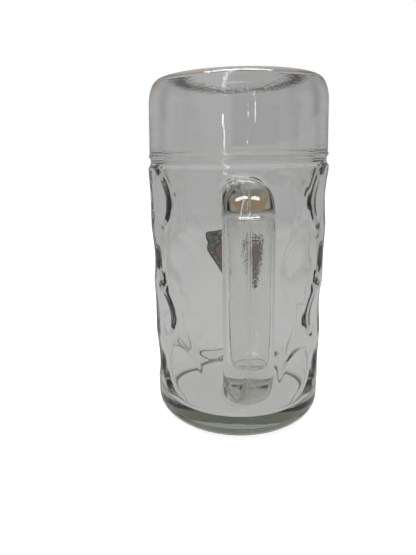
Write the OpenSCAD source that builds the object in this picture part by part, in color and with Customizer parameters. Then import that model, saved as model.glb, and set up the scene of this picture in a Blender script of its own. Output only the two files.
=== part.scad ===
// One-litre dimpled beer mug of pressed glass, with a fired enamel badge.
// Millimetres, +Z up. The origin is the middle of the base, on the table.
// The handle points along -Y and the badge is opposite it, on the +Y wall.

/* [Body] */
// Height from the table to the rim
mug_h = 200; // [170:1:230]
// Outer radius over the ridges of the dimpled wall
wall_r = 52.9; // [46:0.1:60]
// Glass thickness of the bottom
floor_t = 11.5; // [9:0.5:16]
// Glass thickness of the wall between the dimples
wall_glass = 7.7; // [7:0.1:8.4]
// Glass thickness behind a dimple, where the bore follows it
dimple_glass = 7.2; // [6.4:0.1:7.5]
// Radius of the lower outside corner
foot_round = 8; // [6:0.5:10]
// Radius of the corner between floor and bore
floor_round = 5; // [4:0.5:8]
// Width of the ring that the mug stands on
stand_w = 4; // [3:0.5:6]
// Height of the hollow inside that ring
hollow_h = 2; // [1:0.25:3]

/* [Collar and rim] */
// Height of the plain collar under the rim
collar_h = 40; // [34:0.5:48]
// How much smaller the collar's radius is at its foot than the wall's
collar_step = 0.9; // [0:0.1:1.5]
// How much the collar leans in up to the shoulder
collar_lean = 1; // [0:0.1:2]
// Glass thickness at the shoulder
collar_glass = 5.1; // [4:0.1:6.5]
// Height of the bore's short cone inside the collar
cone_h = 22; // [14:1:24]
// Height of the rounded shoulder
shoulder_h = 14; // [11:0.5:16]
// How far the shoulder curves in up to the lip
shoulder_in = 6; // [4.5:0.5:7]
// How far the bore curves in under the lip
neck_in = 3.2; // [2.4:0.1:5]
// Inner radius of the fire-polished lip
lip_round = 1.7; // [1.2:0.1:2]
// Depth of the ring groove under the collar
groove_depth = 1.5; // [0.8:0.1:2]
// Radius of the groove's round bottom
groove_round = 4.2; // [3:0.1:5]

/* [Dimples] */
// Dimples in each row round the wall
dimples_round = 8; // [7:1:9]
// Rows of dimples
dimple_rows = 4; // [3:1:4]
// Distance between the rows
row_pitch = 33.2; // [32:0.1:34]
// Depth in the middle of a dimple
dimple_depth = 3; // [2.6:0.1:3.4]
// Radius of a dimple's bow from top to bottom
dimple_bow = 48; // [42:1:54]

/* [Handle] */
// Width of the handle's bar
bar_w = 22.3; // [18:0.1:25]
// Thickness of the handle's bar
bar_t = 15; // [12:0.5:17]
// How square the bar's section is, from an ellipse at 2
bar_square = 2.2; // [2:0.1:3]
// Reach of the upper bend beyond the wall
handle_reach = 45; // [42:0.5:54]
// Distance from the collar's foot down to the top of the handle
handle_drop = 11; // [10:0.5:16]
// Outer radius of the upper bend
upper_bend = 20; // [18:0.5:24]
// Outer radius of the lower bend
lower_bend = 28; // [24:0.5:32]
// Length of the straight grip between the bends
grip_l = 57; // [50:0.5:62]
// Lean of the grip away from the wall, in degrees
grip_lean = 5; // [0:0.5:8]
// Fall of the lower arm towards the wall, in degrees
arm_fall = 32; // [24:0.5:36]
// Radius of the fillets where the handle meets the wall
root_fillet = 3; // [1.5:0.25:4]

/* [Badge] */
// Width of the badge's top edge, before its corners are rounded
badge_w = 56.5; // [50:0.5:56.5]
// Lean of the badge's two lower sides, in degrees
badge_lean = 33.5; // [30:0.5:36]
// Radius of the badge's corners
badge_round = 6; // [5:0.25:7]
// Height of the badge's middle above the table
badge_z = 86; // [84:0.5:88]
// Width of the badge's dark lines
line_w = 0.9; // [0.7:0.1:1.3]
// Width of the badge's grey band
band_w = 2.9; // [2.5:0.1:3.5]
// Thickness of the fired enamel
enamel_t = 0.2; // [0.1:0.05:0.4]
// Dots on each of the band's sides
side_dots = 6; // [4:1:7]
// Radius of a dot
dot_r = 0.8; // [0.5:0.1:1]
// Distance from the barley ear's tip to the edge of the field
ear_gap = 2.9; // [2:0.1:4]
// Width of a barley grain as a share of its length
grain_w_share = 0.4; // [0.36:0.01:0.44]
// Pairs of grains up the ear
grain_pairs = 3; // [2:1:3]
// Thickness of the ear's stalk
stalk_w = 0.8; // [0.8:0.1:1]
// Least thickness of the stalk as a share of a grain's width
least_stalk_share = 0.39; // [0.38:0.01:0.5]

/* [Hidden] */
$fn = 96;

// Cuts run past the glass by this much
overrun = 3;

// Steps in a drawn corner, round the bar and in the fillets of its roots
corner_steps = 12;
bar_steps = 36;
fillet_steps = 6;

// Levels and radii of the body
collar_z = mug_h - collar_h;
shoulder_z = mug_h - shoulder_h;
collar_low_r = wall_r - collar_step;
collar_top_r = collar_low_r - collar_lean;
bore_top_r = collar_top_r - collar_glass;
bore_low_r = wall_r - wall_glass;
cone_z = collar_z + cone_h;
lip_r = collar_top_r - shoulder_in;
neck_h = shoulder_h - 0.6 * lip_round;
neck_turn = 58;
stand_r = wall_r - foot_round;
hollow_r = stand_r - stand_w;
groove_half = sqrt(pow(groove_round, 2) - pow(groove_round - groove_depth, 2));
groove_z = collar_z - groove_half;

// Rows of dimples: half of a dimple's height, and the height of the first row
dimple_half = sqrt(pow(dimple_bow, 2) - pow(dimple_bow - dimple_depth, 2));
ring_gap = 1.2;
row_top_z = groove_z - groove_half - ring_gap - dimple_half;

// Places where the wall stays plain, as [row, number in the row]: two behind
// the grip and under the handle's lower root, and three where the badge is
plain_places = [
    [1, 0],
    [3, 0],
    [1, floor(dimples_round / 2)],
    [2, ceil(dimples_round / 2) - 1],
    [2, ceil(dimples_round / 2)]
];

// The handle's bends, as [distance from the axis, height] of their centres
handle_top_z = collar_z - handle_drop;
upper_centre = [wall_r + handle_reach - upper_bend, handle_top_z - upper_bend];
bend_change = upper_bend - lower_bend;
lower_centre = upper_centre
    + bend_change * [cos(grip_lean), sin(grip_lean)]
    + grip_l * [sin(grip_lean), -cos(grip_lean)];
arm_start = lower_centre + (lower_bend - bar_t / 2) * [sin(arm_fall), -cos(arm_fall)];
arm_root_z = arm_start[1] - (arm_start[0] - wall_r) * tan(arm_fall);
root_bury = bar_t / 2;
root_u = wall_r - root_bury;

// The badge is a shield drawn about the middle of the circle that would fit in
// it. These are that circle's radius, the shield's corners and its layers' insets
badge_in_r = badge_w / 2 * tan((90 - badge_lean) / 2);
badge_tip = badge_in_r - badge_w / 2 / tan(badge_lean);
badge_corners = [[badge_w / 2, badge_in_r], [-badge_w / 2, badge_in_r], [0, badge_tip]];
band_inset = line_w;
inner_line_inset = band_inset + band_w;
field_inset = inner_line_inset + line_w;

// The ear's height leaves its gap inside the field. Each pair of grains starts
// half a grain above the last, and the stalk grows with them
ear_h = 2 * (badge_in_r - field_inset - ear_gap);
grain_l = ear_h / ((grain_pairs + 1) / 2 + 1);
grain_w = grain_w_share * grain_l;
ear_stalk_w = max(stalk_w, least_stalk_share * grain_w);
grain_step = grain_l / 2;
grain_lean = 30;

// Points of an arc about a centre, with its own radius along each axis
function arc(centre, rx, ry, from, to, steps) =
    [for (i = [0 : steps]) let(a = from + (to - from) * i / steps)
        centre + [rx * cos(a), ry * sin(a)]];

function is_plain(row, place) = len([for (p = plain_places) if (p == [row, place]) 1]) > 0;

// Outline of the glass from the axis, out over the foot and up to the rim
module outer_outline() {
    foot = arc([stand_r, foot_round], foot_round, foot_round, -90, 0, corner_steps);
    shoulder = arc([lip_r, shoulder_z], shoulder_in, shoulder_h, 0, 90, corner_steps);
    polygon(concat(
        [[0, 0]],
        foot,
        [[wall_r, collar_z - groove_half], [collar_low_r, collar_z]],
        shoulder,
        [[0, mug_h]]
    ));
}

// Outline of the space that holds the beer, open past the rim
module bore_outline() {
    floor_corner = arc([bore_low_r - floor_round, floor_t + floor_round],
        floor_round, floor_round, -90, 0, corner_steps);
    neck = arc([bore_top_r - neck_in, shoulder_z], neck_in, neck_h, 0, neck_turn, corner_steps);
    lip = arc([lip_r, mug_h - lip_round], lip_round, lip_round,
        180 + neck_turn / 2, 90, corner_steps);
    polygon(concat(
        [[0, floor_t]],
        floor_corner,
        [[bore_low_r, collar_z], [bore_top_r, cone_z]],
        neck,
        lip,
        [[lip_r, mug_h + overrun], [0, mug_h + overrun]]
    ));
}

// One dimple cutter at a height: flat across, bowed from top to bottom, and
// grown by a glass thickness where it shapes the bore
module dimple(z, glass) {
    translate([0, -(wall_r - dimple_depth + dimple_bow), z])
        rotate([0, 90, 0])
            cylinder(r = dimple_bow + glass, h = 2 * wall_r, center = true);
}

module dimples(glass) {
    step = 360 / dimples_round;
    for (row = [0 : dimple_rows - 1], place = [0 : dimples_round - 1]) {
        shift = row % 2 == 0 ? step / 2 : 0;
        if (!is_plain(row, place))
            rotate([0, 0, place * step + shift])
                dimple(row_top_z - row * row_pitch, glass);
    }
}

// The outside of the mug as one solid, which also trims the handle's roots
module outside() {
    difference() {
        rotate_extrude() outer_outline();
        rotate_extrude()
            translate([wall_r + groove_round - groove_depth, groove_z])
                circle(r = groove_round);
        dimples(0);
    }
}

// The space inside the mug, where the glass bulges in behind each dimple
module bore() {
    difference() {
        rotate_extrude() bore_outline();
        dimples(dimple_glass);
    }
}

module glass_body() {
    color([0.80, 0.84, 0.82, 0.45])
    difference() {
        outside();
        bore();
        translate([0, 0, -overrun])
            cylinder(r1 = hollow_r + overrun, r2 = hollow_r - hollow_h, h = overrun + hollow_h);
    }
}

// How far a point of the bar's squarish oval lies out from a plain ellipse
function swell(a) =
    pow(pow(abs(cos(a)), bar_square) + pow(abs(sin(a)), bar_square), -1 / bar_square);

// Points round the bar's section, grown by g, with its thickness stretched
function section(stretch, g) =
    [for (i = [0 : bar_steps - 1]) let(a = 360 * i / bar_steps)
        swell(a) * [(bar_w / 2 + g) * cos(a), (bar_t / 2 * stretch + g) * sin(a)]];

// A ring of the bar where it meets the mug, drawn on a cylinder round the
// mug's axis: level is the bar's middle there, and side is 1 or -1
function root_ring(radius, level, stretch, side, g) =
    [for (p = section(stretch, g))
        [p[0], -sqrt(pow(radius, 2) - pow(p[0], 2)), level + side * p[1]]];

// Rings of a root's fillet, from inside the wall out to the bare bar. The
// first ring outside stands just proud, so the wall cuts the bar cleanly
function root_rings(slope, level, side) =
    let(stretch = 1 / cos(atan(slope)))
    concat(
        [root_ring(root_u, level - slope * root_bury, stretch, side, root_fillet)],
        [for (i = [1 : fillet_steps]) let(
            a = 90 - 90 * i / fillet_steps,
            out = root_fillet * (1 - sin(a)),
            grown = root_fillet * (1 - cos(a)))
            root_ring(wall_r + out, level + slope * out, stretch, side, grown)]
    );

// Rings of a bend about a centre, by its outer radius and its two angles
function bend_rings(centre, outer_r, from, to, steps) =
    [for (i = [0 : steps]) let(
        a = from + (to - from) * i / steps,
        middle = centre + (outer_r - bar_t / 2) * [cos(a), sin(a)])
        [for (p = section(1, 0))
            [p[0], -(middle[0] + p[1] * cos(a)), middle[1] + p[1] * sin(a)]]];

function reversed(list) = [for (i = [len(list) - 1 : -1 : 0]) list[i]];

// Joins rings of equal length into one closed tube
module tube(rings) {
    n = len(rings[0]);
    count = len(rings);
    near = [for (i = [0 : count - 2], j = [0 : n - 1])
        [i * n + j, i * n + (j + 1) % n, (i + 1) * n + (j + 1) % n]];
    far = [for (i = [0 : count - 2], j = [0 : n - 1])
        [i * n + j, (i + 1) * n + (j + 1) % n, (i + 1) * n + j]];
    last = (count - 1) * n;
    start = [for (j = [1 : n - 2]) [0, j + 1, j]];
    finish = [for (j = [1 : n - 2]) [last, last + j, last + j + 1]];
    polyhedron([for (r = rings) each r], concat(near, far, start, finish));
}

// The handle: out from the upper root, down the grip, and back to the lower root
module handle_bar() {
    fall = tan(arm_fall);
    tube(concat(
        root_rings(0, handle_top_z - bar_t / 2, 1),
        bend_rings(upper_centre, upper_bend, 90, grip_lean, 12),
        bend_rings(lower_centre, lower_bend, grip_lean, arm_fall - 90, 9),
        reversed(root_rings(fall, arm_root_z, -1))
    ));
}

module glass_handle() {
    color([0.76, 0.81, 0.77, 0.55])
    difference() {
        handle_bar();
        outside();
    }
}

// Fires a flat figure on to the wall at the badge's place
module fired() {
    intersection() {
        difference() {
            cylinder(r = wall_r + enamel_t, h = mug_h);
            translate([0, 0, -overrun])
                cylinder(r = wall_r, h = mug_h + 2 * overrun);
        }
        translate([0, wall_r + overrun, badge_z])
            rotate([90, 0, 0])
                linear_extrude(wall_r) children();
    }
}

// Radius and centres of the shield's corners where it is drawn in by an inset
function corner_r(inset) = badge_round - inset / 4;
function corner_centres(inset) =
    [for (c = badge_corners) c * (badge_in_r - inset - corner_r(inset)) / badge_in_r];

// The shield's outline, drawn in by an inset
module shield(inset) {
    r = corner_r(inset);
    places = corner_centres(inset);
    polygon(concat(
        arc(places[0], r, r, -badge_lean, 90, corner_steps),
        arc(places[1], r, r, 90, 180 + badge_lean, corner_steps),
        arc(places[2], r, r, 180 + badge_lean, 360 - badge_lean, corner_steps)
    ));
}

module shield_ring(outer, inner) {
    difference() {
        shield(outer);
        shield(inner);
    }
}

// A pointed grain that starts at the origin and points up
module grain() {
    r = (pow(grain_l, 2) + pow(grain_w, 2)) / (4 * grain_w);
    intersection() {
        translate([r - grain_w / 2, grain_l / 2]) circle(r = r);
        translate([grain_w / 2 - r, grain_l / 2]) circle(r = r);
    }
}

// A barley ear: a stalk with grains in pairs and one at the tip
module ear() {
    translate([0, -ear_h / 2]) {
        translate([-ear_stalk_w / 2, 0]) square([ear_stalk_w, ear_h - grain_l / 2]);
        for (i = [1 : grain_pairs], side = [-1, 1])
            translate([0, i * grain_step])
                rotate(-side * grain_lean) grain();
        translate([0, ear_h - grain_l]) grain();
    }
}

// Dots along the middle of the band: one in each corner, and a row along each
// side's straight part
module dots() {
    inset = band_inset + band_w / 2;
    r = corner_r(inset);
    centres = corner_centres(inset);
    for (side = [0 : 2]) {
        from = centres[side];
        along = centres[(side + 1) % 3] - from;
        out = [along[1], -along[0]] / norm(along);
        translate(from * (1 + r / norm(from))) circle(r = dot_r);
        for (i = [0 : side_dots - 1])
            translate(from + out * r + along * i / (side_dots - 1)) circle(r = dot_r);
    }
}

module enamel_lines() {
    color([0.20, 0.12, 0.09])
    fired() {
        shield_ring(0, band_inset);
        shield_ring(inner_line_inset, field_inset);
    }
}

module enamel_band() {
    color([0.45, 0.49, 0.50])
    fired() difference() {
        shield_ring(band_inset, inner_line_inset);
        dots();
    }
}

module enamel_field() {
    color([0.56, 0.30, 0.33])
    fired() difference() {
        shield(field_inset);
        ear();
    }
}

module enamel_ear() {
    color([0.86, 0.82, 0.70])
    fired() {
        ear();
        dots();
    }
}

glass_body();
glass_handle();
enamel_lines();
enamel_band();
enamel_field();
enamel_ear();
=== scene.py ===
# The finish of a one-litre dimpled glass beer mug, dressed over its packed
# solids. Metres, +Z up, the handle along -Y and the fired badge opposite, on +Y.
import math

import bmesh
import bpy
from mathutils import Matrix, Vector, noise


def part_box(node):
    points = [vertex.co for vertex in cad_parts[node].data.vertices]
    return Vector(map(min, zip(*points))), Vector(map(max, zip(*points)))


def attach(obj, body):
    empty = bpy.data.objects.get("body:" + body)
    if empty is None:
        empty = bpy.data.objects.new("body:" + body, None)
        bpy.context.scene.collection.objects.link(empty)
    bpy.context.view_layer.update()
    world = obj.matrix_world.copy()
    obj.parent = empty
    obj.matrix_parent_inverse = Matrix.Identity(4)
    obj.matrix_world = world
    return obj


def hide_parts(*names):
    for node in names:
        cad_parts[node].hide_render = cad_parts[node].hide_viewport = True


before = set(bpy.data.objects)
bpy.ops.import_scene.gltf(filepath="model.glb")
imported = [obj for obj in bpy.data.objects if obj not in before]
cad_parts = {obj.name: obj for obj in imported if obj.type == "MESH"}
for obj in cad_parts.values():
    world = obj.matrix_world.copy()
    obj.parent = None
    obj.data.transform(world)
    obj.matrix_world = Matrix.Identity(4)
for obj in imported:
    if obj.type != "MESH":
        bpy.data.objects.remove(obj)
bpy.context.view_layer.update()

MM = 0.001

# The camera stands in front of the handle and a little above the middle of the
# mug, below its rim, and looks down at it. Its lens and place were fitted to
# the mug's outline in the photograph.
photo_height_px = 555
focal_px = 430
camera_distance = 267.1 * MM
camera_height = 160.5 * MM
camera_pitch = math.radians(16.0)
camera_yaw = math.radians(-4.04)
camera_roll = math.radians(-0.99)
handle_to_the_right = math.radians(3.0)

camera_data = bpy.data.cameras.new("camera")
camera_data.lens = camera_data.sensor_width * focal_px / photo_height_px
camera_data.clip_start = 10 * MM
camera = bpy.data.objects.new("camera", camera_data)
bpy.context.scene.collection.objects.link(camera)
bpy.context.scene.camera = camera
camera.matrix_world = (
    Matrix.Rotation(-handle_to_the_right, 4, "Z")
    @ Matrix.Translation((0, -camera_distance, camera_height))
    @ Matrix.Rotation(-camera_yaw, 4, "Z")
    @ Matrix.Rotation(math.pi / 2 - camera_pitch, 4, "X")
    @ Matrix.Rotation(camera_roll, 4, "Z")
)

# The mug's body is one gob of clear glass, pressed in a mould: a thick wall
# with staggered rows of oval dimples, a plain collar over a round groove, a
# heavy bottom, and a rim that is rounded in a flame afterwards.
mug_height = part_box("glass_body")[1].z
print_radius = 52.9 * MM
print_sink = 0.06 * MM
wall_radius = print_radius + print_sink
foot_round = 8 * MM
floor_thickness = 11.5 * MM
floor_round = 5 * MM
floor_top = floor_thickness + floor_round
stand_radius = wall_radius - foot_round
hollow_radius = stand_radius - 4 * MM
hollow_height = 2 * MM
hollow_round = 1.2 * hollow_height
stand_edge = 0.3 * MM
knurl_count = 150
collar_foot = mug_height - 40 * MM
collar_edge = 0.9 * MM
collar_low_radius = wall_radius - 1.0 * MM
collar_top_radius = wall_radius - 1.9 * MM
shoulder_height = 14 * MM
shoulder_level = mug_height - shoulder_height
bore_top_radius = 45.9 * MM
bore_low_radius = 45.2 * MM
bore_inside = bore_low_radius - 0.1 * MM
cone_top = collar_foot + 22 * MM
neck_in = 3.2 * MM
neck_height = 13 * MM
lip_round = 1.7 * MM
lip_radius = collar_top_radius - 6 * MM
lip_level = mug_height - lip_round
groove_depth = 1.5 * MM
groove_round = 4.2 * MM
groove_half = math.sqrt(groove_round ** 2 - (groove_round - groove_depth) ** 2)
groove_level = collar_foot - groove_half
groove_edge = 0.5 * MM
groove_floor_radius = wall_radius - groove_depth

dimples_round = 8
dimple_rows = 4
row_pitch = 33.2 * MM
dimple_depth = 3.0 * MM
dimple_bow = 48 * MM
dimple_half = math.sqrt(dimple_bow ** 2 - (dimple_bow - dimple_depth) ** 2)
ring_gap = 1.2 * MM
top_row_level = groove_level - groove_half - ring_gap - dimple_half
dimple_glass = 7.2 * MM
ridge_softness = 0.6 * MM
bump_softness = 0.8 * MM
dimple_reach = dimple_half + 3 * MM
dimple_facing = 0.85

# The rows and places, counted from the handle, where the handle's roots and the
# badge leave no room for a dimple
plain_places = {(1, 0), (3, 0), (1, 4), (2, 3), (2, 4)}

columns = 272
wall_spacing = 1.3 * MM
bore_spacing = 2.4 * MM
foot_spacing_below = 5 * MM


def arc(centre, size, start, end, steps):
    """Points of a round stretch of the half section, from one angle to another."""
    turns = [start + (end - start) * i / steps for i in range(steps + 1)]
    return [
        (centre[0] + size[0] * math.cos(math.radians(a)), centre[1] + size[1] * math.sin(math.radians(a)))
        for a in turns
    ]


def soft_least(a, b, softness):
    """The smaller of two radii, with a soft ridge where they are close."""
    near = max(softness - abs(a - b), 0) / softness
    return min(a, b) - near * near * softness / 4


def wall_at(angle, level, plain_radius, glass=0.0, softness=ridge_softness):
    """Radius of the dimpled wall at an angle from the handle and a height.

    With a glass thickness it is the bore's radius, where the wall keeps that
    thickness behind each dimple."""
    radius = plain_radius
    for row in range(dimple_rows):
        rise = level - (top_row_level - row * row_pitch)
        if abs(rise) > dimple_reach:
            continue
        flat = wall_radius - dimple_depth + dimple_bow - math.sqrt((dimple_bow + glass) ** 2 - rise ** 2)
        for place in range(dimples_round):
            turn = angle - math.tau / dimples_round * (place + (0.5 if row % 2 == 0 else 0))
            if math.cos(turn) > dimple_facing and (row, place) not in plain_places:
                radius = soft_least(radius, flat / math.cos(turn), softness)
    return radius


def angle_of(point):
    """Angle round the mug from the handle's side, towards +X."""
    return math.atan2(point.x, -point.y)


def add_line(bm, points):
    """A chain of edges in the half section, from a list of (radius, height)."""
    verts = [bm.verts.new((x, 0, z)) for x, z in points]
    return [bm.edges.new(pair) for pair in zip(verts, verts[1:])]


def finished_object(name, bm, smooth=True):
    """A mesh object at the origin from a bmesh."""
    mesh = bpy.data.meshes.new(name)
    bm.to_mesh(mesh)
    bm.free()
    if smooth:
        mesh.shade_smooth()
    piece = bpy.data.objects.new(name, mesh)
    bpy.context.scene.collection.objects.link(piece)
    return piece


half_section = (
    [(0, hollow_height), (hollow_radius - hollow_round - hollow_height, hollow_height)]
    + arc((hollow_radius - hollow_round, 0), (hollow_round, hollow_height), 80, 15, 5)
    + [(hollow_radius + stand_edge, 0)]
    + arc((stand_radius, foot_round), (foot_round, foot_round), -90, 0, 14)
    + [(wall_radius, groove_level - groove_half - groove_edge)]
    + arc((groove_floor_radius + groove_round, groove_level), (groove_round, groove_round), 223, 137, 8)
    + [(collar_low_radius, collar_foot + collar_edge)]
    + arc((lip_radius, shoulder_level), (collar_top_radius - lip_radius, shoulder_height), 0, 84, 16)
    + arc((lip_radius, lip_level), (lip_round, lip_round), 90, 209, 9)
    + arc((bore_top_radius - neck_in, shoulder_level), (neck_in, neck_height), 58, 0, 8)
    + [(bore_top_radius, cone_top), (bore_low_radius, collar_foot)]
    + arc((bore_low_radius - floor_round, floor_top), (floor_round, floor_round), 0, -90, 12)
    + [(0, floor_thickness)]
)
body = bmesh.new()
for edge in add_line(body, half_section):
    low = min(v.co.z for v in edge.verts)
    outside = min(v.co.x for v in edge.verts) > bore_top_radius
    spacing = wall_spacing if outside and low > foot_spacing_below else bore_spacing
    cuts = int((edge.verts[0].co - edge.verts[1].co).length / spacing)
    if cuts:
        bmesh.ops.subdivide_edges(body, edges=[edge], cuts=cuts)
bmesh.ops.spin(
    body, geom=body.verts[:] + body.edges[:], axis=(0, 0, 1), cent=(0, 0, 0),
    steps=columns, angle=math.tau, use_merge=True,
)
bmesh.ops.remove_doubles(body, verts=body.verts[:], dist=1e-6)
for vert in body.verts:
    plain = math.hypot(vert.co.x, vert.co.y)
    place = (angle_of(vert.co), vert.co.z, plain)
    outside = plain > bore_top_radius
    if outside and foot_round < vert.co.z < groove_level - groove_half:
        share = wall_at(*place) / plain
    elif not outside and plain > bore_inside and floor_top < vert.co.z < collar_foot:
        share = wall_at(*place, dimple_glass, bump_softness) / plain
    else:
        continue
    vert.co.x *= share
    vert.co.y *= share
bmesh.ops.recalc_face_normals(body, faces=body.faces[:])
glass = finished_object("mug_glass", body)

# The handle is a bar of the same glass with round edges, pressed and fused to
# the wall while both are hot, so it flows into the wall at its two roots. The
# two halves of its mould leave a fine seam along the bar.
bar_width = 22.3 * MM
bar_thickness = 15 * MM
bar_squareness = 2.2
bar_sides = 72
handle_top = collar_foot - 11 * MM
reach = 45 * MM
upper_bend = 20 * MM
lower_bend = 28 * MM
grip_length = 57 * MM
grip_lean = math.radians(5)
arm_fall = math.radians(32)
root_fillet = 3 * MM
root_bury = 3 * MM
root_skin = 0.1 * MM
root_run = 3 * MM
seam_height = 0.2 * MM
seam_width_share = 0.45
seam_beads = 0.3 * MM
bead_pitch = 1.3 * MM
ring_spacing = 1.6 * MM

upper_centre = Vector((0, -(wall_radius + reach - upper_bend), handle_top - upper_bend))
grip_down = Vector((0, -math.sin(grip_lean), -math.cos(grip_lean)))
grip_out = Vector((0, -math.cos(grip_lean), math.sin(grip_lean)))
lower_centre = upper_centre + grip_out * (upper_bend - lower_bend) + grip_down * grip_length
arm_out = Vector((0, -math.sin(arm_fall), -math.cos(arm_fall)))
arm_in = Vector((0, math.cos(arm_fall), -math.sin(arm_fall)))
arm_start = lower_centre + arm_out * (lower_bend - bar_thickness / 2)
arm_root_level = arm_start.z - (-arm_start.y - wall_radius) * math.tan(arm_fall)

bar = bmesh.new()
across = bar.verts.layers.float.new("across")
through = bar.verts.layers.float.new("through")


def root_place(vert, out, grown, level, slope, stretch, side):
    """A point of the bar's section, put on the dimpled wall and grown by the fillet."""
    x = vert[across] * (1 + 2 * grown / bar_width)
    z = level + slope * out + side * vert[through] * stretch * (1 + 2 * grown / bar_thickness / stretch)
    y = -wall_radius
    for _ in range(4):
        radius = wall_at(math.atan2(x, -y), z, wall_radius) + out
        y = -math.sqrt(max(radius ** 2 - x ** 2, 0))
    return Vector((x, y, z))


def extruded(ring, place):
    """Extrudes the bar's open end and puts each of its new points in place."""
    made = bmesh.ops.extrude_edge_only(bar, edges=ring)["geom"]
    fresh = {v for v in made if isinstance(v, bmesh.types.BMVert)}
    for vert in fresh:
        vert.co = place(vert)
    return [e for e in made if isinstance(e, bmesh.types.BMEdge) and fresh.issuperset(e.verts)]


def straight(ring, travel):
    """Extrudes the bar along a straight line, in short steps."""
    steps = max(1, round(travel.length / ring_spacing))
    for _ in range(steps):
        ring = extruded(ring, lambda vert: vert.co + travel / steps)
    return ring


def bend(ring, centre, angle, outer_radius):
    """Spins the bar's open end about a centre, in the handle's plane."""
    steps = round(angle * outer_radius / ring_spacing)
    made = bmesh.ops.spin(
        bar, geom=ring + list({v for e in ring for v in e.verts}), axis=(1, 0, 0),
        cent=centre, steps=steps, angle=angle,
    )["geom_last"]
    return [e for e in made if isinstance(e, bmesh.types.BMEdge)]


section = bmesh.ops.create_circle(bar, segments=bar_sides, radius=1)["verts"]
for vert in section:
    c, s = vert.co.x, vert.co.y
    size = (
        abs(2 * c / bar_width) ** bar_squareness + abs(2 * s / bar_thickness) ** bar_squareness
    ) ** (-1 / bar_squareness)
    vert[across] = c * size
    vert[through] = s * size
    if abs(c) < 1e-4:
        vert[through] += math.copysign(seam_height, s)
    elif abs(c) < 1.1 * math.sin(math.tau / bar_sides):
        vert[across] *= seam_width_share
upper_level = handle_top - bar_thickness / 2
fillet = [(root_fillet * (1 - math.sin(a)), root_fillet * (1 - math.cos(a)))
          for a in (math.radians(80 - 10 * i) for i in range(9))]
root_rings = [(-root_bury, root_fillet), (-root_skin, root_fillet)] + fillet
for vert in section:
    vert.co = root_place(vert, *root_rings[0], upper_level, 0, 1, 1)
ring = bar.edges[:]
for out, grown in root_rings[1:]:
    ring = extruded(ring, lambda vert: root_place(vert, out, grown, upper_level, 0, 1, 1))
root_end_y = -(wall_radius + root_fillet + root_run)
ring = extruded(ring, lambda vert: Vector((vert[across], root_end_y, upper_level + vert[through])))
ring = straight(ring, Vector((0, upper_centre.y - root_end_y, 0)))
ring = bend(ring, upper_centre, math.pi / 2 - grip_lean, upper_bend)
ring = straight(ring, grip_down * grip_length)
ring = bend(ring, lower_centre, math.pi / 2 + grip_lean - arm_fall, lower_bend)
slope = math.tan(arm_fall)
stretch = 1 / math.cos(arm_fall)
arm_length = (-arm_start.y - wall_radius - root_fillet - 2 * root_run) / math.cos(arm_fall)
ring = straight(ring, arm_in * arm_length)
for out, grown in reversed(root_rings):
    ring = extruded(ring, lambda vert: root_place(vert, out, grown, arm_root_level, slope, stretch, -1))
bmesh.ops.holes_fill(bar, edges=[e for e in bar.edges if e.is_boundary], sides=0)
bmesh.ops.recalc_face_normals(bar, faces=bar.faces[:])
bar.normal_update()
for vert in bar.verts:
    if abs(vert.co.x) < 0.01 * MM and vert.co.y < -wall_radius - root_fillet:
        vert.co += vert.normal * seam_beads * noise.noise(vert.co / bead_pitch)
handle = finished_object("handle", bar)

fuse = glass.modifiers.new("fuse", "BOOLEAN")
fuse.operation = "UNION"
fuse.solver = "EXACT"
fuse.object = handle
fused = bpy.data.meshes.new_from_object(glass.evaluated_get(bpy.context.evaluated_depsgraph_get()))
glass.modifiers.clear()
glass.data = fused
fused.name = "mug_glass"
fused.shade_smooth()
bpy.data.objects.remove(handle)


class Wire:
    """A value over a surface: sums on it add Math nodes to the material."""

    def __init__(self, surface, socket):
        self.surface = surface
        self.socket = socket

    def maths(self, operation, *values):
        return self.surface.maths(operation, *values)

    def __add__(self, other):
        return self.maths("ADD", self, other)

    __radd__ = __add__

    def __mul__(self, other):
        return self.maths("MULTIPLY", self, other)

    __rmul__ = __mul__

    def __sub__(self, other):
        return self.maths("SUBTRACT", self, other)

    def __rsub__(self, other):
        return self.maths("SUBTRACT", other, self)


class Surface:
    """A material, or the world, whose nodes are made one by one."""

    def __init__(self, owner):
        self.owner = owner
        owner.use_nodes = True
        self.tree = owner.node_tree
        self.tree.nodes.clear()

    def node(self, kind, settings=None, inputs=None, output=0):
        made = self.tree.nodes.new(kind)
        for name, value in (settings or {}).items():
            if name == "stops":
                ramp = made.color_ramp
                while len(ramp.elements) < len(value):
                    ramp.elements.new(1)
                for element, (place, colour) in zip(ramp.elements, value):
                    element.position = place
                    element.color = colour
            else:
                setattr(made, name, value)
        for name, value in (inputs or {}).items():
            if isinstance(value, Wire):
                self.tree.links.new(value.socket, made.inputs[name])
            else:
                made.inputs[name].default_value = value
        return Wire(self, made.outputs[output]) if made.outputs else made

    def maths(self, operation, *values):
        return self.node("ShaderNodeMath", {"operation": operation}, dict(enumerate(values)))

    def rise(self, value, start, end, low=0, high=1):
        """A smooth step from low to high while a value goes from start to end."""
        return self.node("ShaderNodeMapRange", {"interpolation_type": "SMOOTHSTEP"}, {
            "Value": value, "From Min": start, "From Max": end, "To Min": low, "To Max": high})


# The glass is clear, with a faint green-grey tint that shows in the thick base.
# A flame has polished it, so it is smooth but for waves, streaks drawn along
# the handle, a stippled rim, groove, grip and seam, and a knurled bearing ring.
wave_relief = 0.05 * MM
streak_relief = 0.02 * MM
knurl_relief = 0.03 * MM
polish_relief = 0.02 * MM
grip_relief = 0.1 * MM
seam_relief = 0.15 * MM
grip_mark_level = 119 * MM

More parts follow.
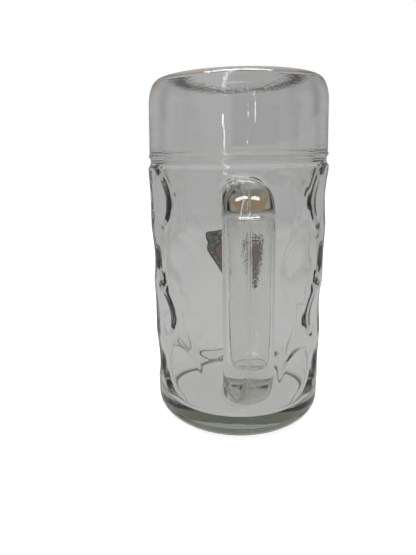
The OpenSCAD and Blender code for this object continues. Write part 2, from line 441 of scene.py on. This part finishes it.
surface = Surface(bpy.data.materials.new("clear_glass"))
place = surface.node("ShaderNodeTexCoord", output="Object")
along_x = surface.node("ShaderNodeSeparateXYZ", {}, {0: place}, 0)
along_y = surface.node("ShaderNodeSeparateXYZ", {}, {0: place}, 1)
height = surface.node("ShaderNodeSeparateXYZ", {}, {0: place}, 2)
waves = surface.node("ShaderNodeTexNoise", {}, {"Vector": place, "Scale": 60, "Detail": 2})
specks = surface.node("ShaderNodeTexNoise", {}, {"Vector": place, "Scale": 1300, "Detail": 1})
drawn = surface.node("ShaderNodeMapping", {}, {"Vector": place, "Scale": (900, 900, 90)})
streaks = surface.node("ShaderNodeTexNoise", {}, {"Vector": drawn, "Scale": 1, "Detail": 2})
on_rim = surface.rise(height, shoulder_level - 2 * MM, shoulder_level + 4 * MM)
in_groove = 1 - surface.rise(surface.maths("ABSOLUTE", height - groove_level), 4 * MM, 7 * MM)
on_bar = surface.rise(-1 * along_y, wall_radius + 4 * MM, wall_radius + 12 * MM)
on_ring = 1 - surface.node("ShaderNodeMapRange", {}, {
    "Value": height, "From Min": 0.05 * MM, "From Max": 0.5 * MM})
knurls = surface.maths("SINE", surface.maths("ARCTAN2", along_x, along_y) * knurl_count)
on_grip = on_bar * (1 - surface.rise(surface.maths("ABSOLUTE", height - grip_mark_level), 7 * MM, 13 * MM))
on_seam = on_bar * (1 - surface.rise(surface.maths("ABSOLUTE", along_x), 0.35 * MM, 0.7 * MM))
speck_relief = (on_rim + in_groove) * polish_relief + on_grip * grip_relief + on_seam * seam_relief
relief = (
    waves * wave_relief + streaks * on_bar * streak_relief
    + knurls * on_ring * knurl_relief + specks * speck_relief
)
bump = surface.node("ShaderNodeBump", {}, {"Strength": 1, "Distance": 1, "Height": relief})
shader = surface.node("ShaderNodeBsdfPrincipled", {}, {
    "Base Color": (1, 1, 1, 1), "Roughness": on_ring * 0.1 + on_seam * 0.25, "IOR": 1.52,
    "Transmission Weight": 1, "Normal": bump})
tint = surface.node("ShaderNodeVolumeAbsorption", {}, {"Color": (0.64, 0.67, 0.61, 1), "Density": 19})
surface.node("ShaderNodeOutputMaterial", {}, {"Surface": shader, "Volume": tint})
fused.materials.append(surface.owner)
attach(glass, "root")
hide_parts("glass_body", "glass_handle")

# The badge is enamel, screen printed in layers on the outside of the wall
# opposite the handle, and fired so that it melts into the glass a little.
for name, colour, worn in (
    ("enamel_lines", (0.09, 0.035, 0.018), (0.34, 0.13, 0.05)),
    ("enamel_band", (0.16, 0.18, 0.19), (0.30, 0.33, 0.34)),
    ("enamel_field", (0.42, 0.19, 0.22), (0.52, 0.30, 0.33)),
    ("enamel_ear", (0.66, 0.58, 0.42), (0.80, 0.75, 0.62)),
):
    surface = Surface(bpy.data.materials.new(name))
    place = surface.node("ShaderNodeTexCoord", output="Object")
    cloud = surface.node("ShaderNodeTexNoise", {}, {"Vector": place, "Scale": 350, "Detail": 3})
    grit = surface.node("ShaderNodeTexNoise", {}, {"Vector": place, "Scale": 2500, "Detail": 1})
    shade = surface.node("ShaderNodeMix", {"data_type": "RGBA"}, {
        0: surface.node("ShaderNodeMapRange", {}, {"Value": cloud, "From Min": 0.4, "From Max": 0.65}),
        6: (*colour, 1), 7: (*worn, 1)}, output=2)
    bump = surface.node("ShaderNodeBump", {}, {"Strength": 0.6, "Distance": 0.0001, "Height": grit})
    shader = surface.node("ShaderNodeBsdfPrincipled", {}, {
        "Base Color": shade, "Roughness": 0.25 + 0.2 * grit, "Normal": bump})
    surface.node("ShaderNodeOutputMaterial", {}, {"Surface": shader})
    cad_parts[name].data.materials.clear()
    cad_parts[name].data.materials.append(surface.owner)

# The mug stands on a plain pale cloth. The camera sees it as white, as the photograph's cut-out does,
# with the mug's shadow on it, and the glass shows it as the grey of the room that the mug was
# photographed in, glowing with a painted pool of light that is a lighter grey near the mug.
# The grey that the glass sees is brighter near the mug: a painted pool of light, not lamp light.
painted_pool_grey = 0.52
far_grey = 0.42
floor_drop = 0.3 * MM
floor_bm = bmesh.new()
bmesh.ops.create_grid(floor_bm, x_segments=1, y_segments=1, size=3)
bmesh.ops.translate(floor_bm, verts=floor_bm.verts[:], vec=(0, 0, -floor_drop))
floor = finished_object("floor", floor_bm, smooth=False)
surface = Surface(bpy.data.materials.new("floor"))
camera_ray = surface.node("ShaderNodeLightPath", output="Is Camera Ray")
through_glass = surface.node("ShaderNodeLightPath", output="Is Transmission Ray")
mirrored = surface.node("ShaderNodeLightPath", output="Is Glossy Ray")
indirect = surface.maths("MAXIMUM", through_glass, mirrored)
place = surface.node("ShaderNodeTexCoord", output="Object")
distance = surface.node("ShaderNodeVectorMath", {"operation": "LENGTH"}, {0: place}, output=1)
# Painted pool of light: the glow seen through the glass is lighter near the mug and fades to the room's grey
# far off.
grey = surface.rise(distance, 0.15, 0.9, painted_pool_grey, far_grey)
cloth = surface.node("ShaderNodeBsdfDiffuse", {}, {"Color": (0.82, 0.82, 0.82, 1)})
glow = surface.node("ShaderNodeEmission", {}, {"Color": (1, 1, 1, 1), "Strength": camera_ray * 0.74})
lit = surface.node("ShaderNodeAddShader", {}, {0: cloth, 1: glow})
seen_grey = surface.node("ShaderNodeEmission", {}, {"Color": (1, 1, 1, 1), "Strength": grey})
both = surface.node("ShaderNodeMixShader", {}, {0: indirect, 1: lit, 2: seen_grey})
surface.node("ShaderNodeOutputMaterial", {}, {"Surface": both})
floor.data.materials.append(surface.owner)

# The room is white to the camera and grey through the glass. Ahead are a warm
# and a dim band, and a fold in the backdrop. Tall dark flags on both sides give
# the thick glass its dark edges.
plain = (far_grey, far_grey, far_grey, 1)
warm = (0.36, 0.24, 0.125, 1)
dim = (0.21, 0.215, 0.17, 1)
bands = [(0.26, plain), (0.30, warm), (0.43, warm), (0.45, plain), (0.47, dim), (0.66, dim), (0.72, plain)]
flag_depth = 0.9
fold_depth = 0.15
side_glow = 0.09

world = bpy.data.worlds.new("studio")
bpy.context.scene.world = world
surface = Surface(world)
seen = surface.node("ShaderNodeLightPath", output="Is Camera Ray")
direction = surface.node("ShaderNodeTexCoord", output="Generated")
across_x = surface.node("ShaderNodeSeparateXYZ", {}, {0: direction}, 0)
ahead = surface.node("ShaderNodeSeparateXYZ", {}, {0: direction}, 1)
up = surface.node("ShaderNodeSeparateXYZ", {}, {0: direction}, 2)
aside = surface.maths("ABSOLUTE", across_x)
flags = surface.rise(aside, 0.80, 0.92) * (1 - surface.rise(aside, 0.955, 0.975))
fold = surface.rise(across_x, 0.025, 0.045)
beyond_fold = surface.rise(across_x, 0.06, 0.30)
behind_mug = surface.rise(ahead, 0.45, 0.60)
banded = surface.node("ShaderNodeValToRGB", {"stops": bands}, {0: up})
colour = surface.node("ShaderNodeMix", {"data_type": "RGBA"}, {0: behind_mug, 6: plain, 7: banded}, output=2)
shade = (1 - flag_depth * flags) * (1 - fold_depth * fold + side_glow * beyond_fold)
white = surface.node("ShaderNodeMix", {"data_type": "RGBA"}, {0: seen, 6: colour, 7: (1, 1, 1, 1)}, output=2)
back = surface.node("ShaderNodeBackground", {}, {"Color": white, "Strength": seen + (1 - seen) * shade})
surface.node("ShaderNodeOutputWorld", {}, {"Surface": back})

# The light is a wide strip on the ceiling, with a tall strip and small panes in
# front, which are the windows and lamps that gleam on the handle and collar.


def lamp(name, place, width, height, watts):
    """A soft box at a place, turned to the middle of the mug."""
    data = bpy.data.lights.new(name, "AREA")
    data.shape = "RECTANGLE"
    data.size = width
    data.size_y = height
    data.energy = watts
    made = bpy.data.objects.new(name, data)
    made.location = place
    aim = Vector((0, 0, mug_height / 2)) - made.location
    made.rotation_euler = aim.to_track_quat("-Z", "Y").to_euler()
    bpy.context.scene.collection.objects.link(made)


lamp("tall_strip", (-0.21, -0.60, 0.92), 0.04, 1.3, 1.1)
lamp("pane", (-0.34, -0.94, 0.31), 0.03, 0.03, 0.04)
lamp("low_pane", (-0.34, -0.94, 0.075), 0.04, 0.04, 0.06)
lamp("right_pane", (0.30, -0.95, 0.33), 0.02, 0.04, 0.03)
lamp("front_strip", (0, -0.9, 0.75), 0.5, 0.04, 0.25)
lamp("ceiling_strip", (0, -0.15, 1.4), 1.2, 0.25, 12)

scene = bpy.context.scene
scene.view_settings.view_transform = "Standard"
scene.cycles.max_bounces = 32
scene.cycles.glossy_bounces = 9
scene.cycles.transmission_bounces = 24
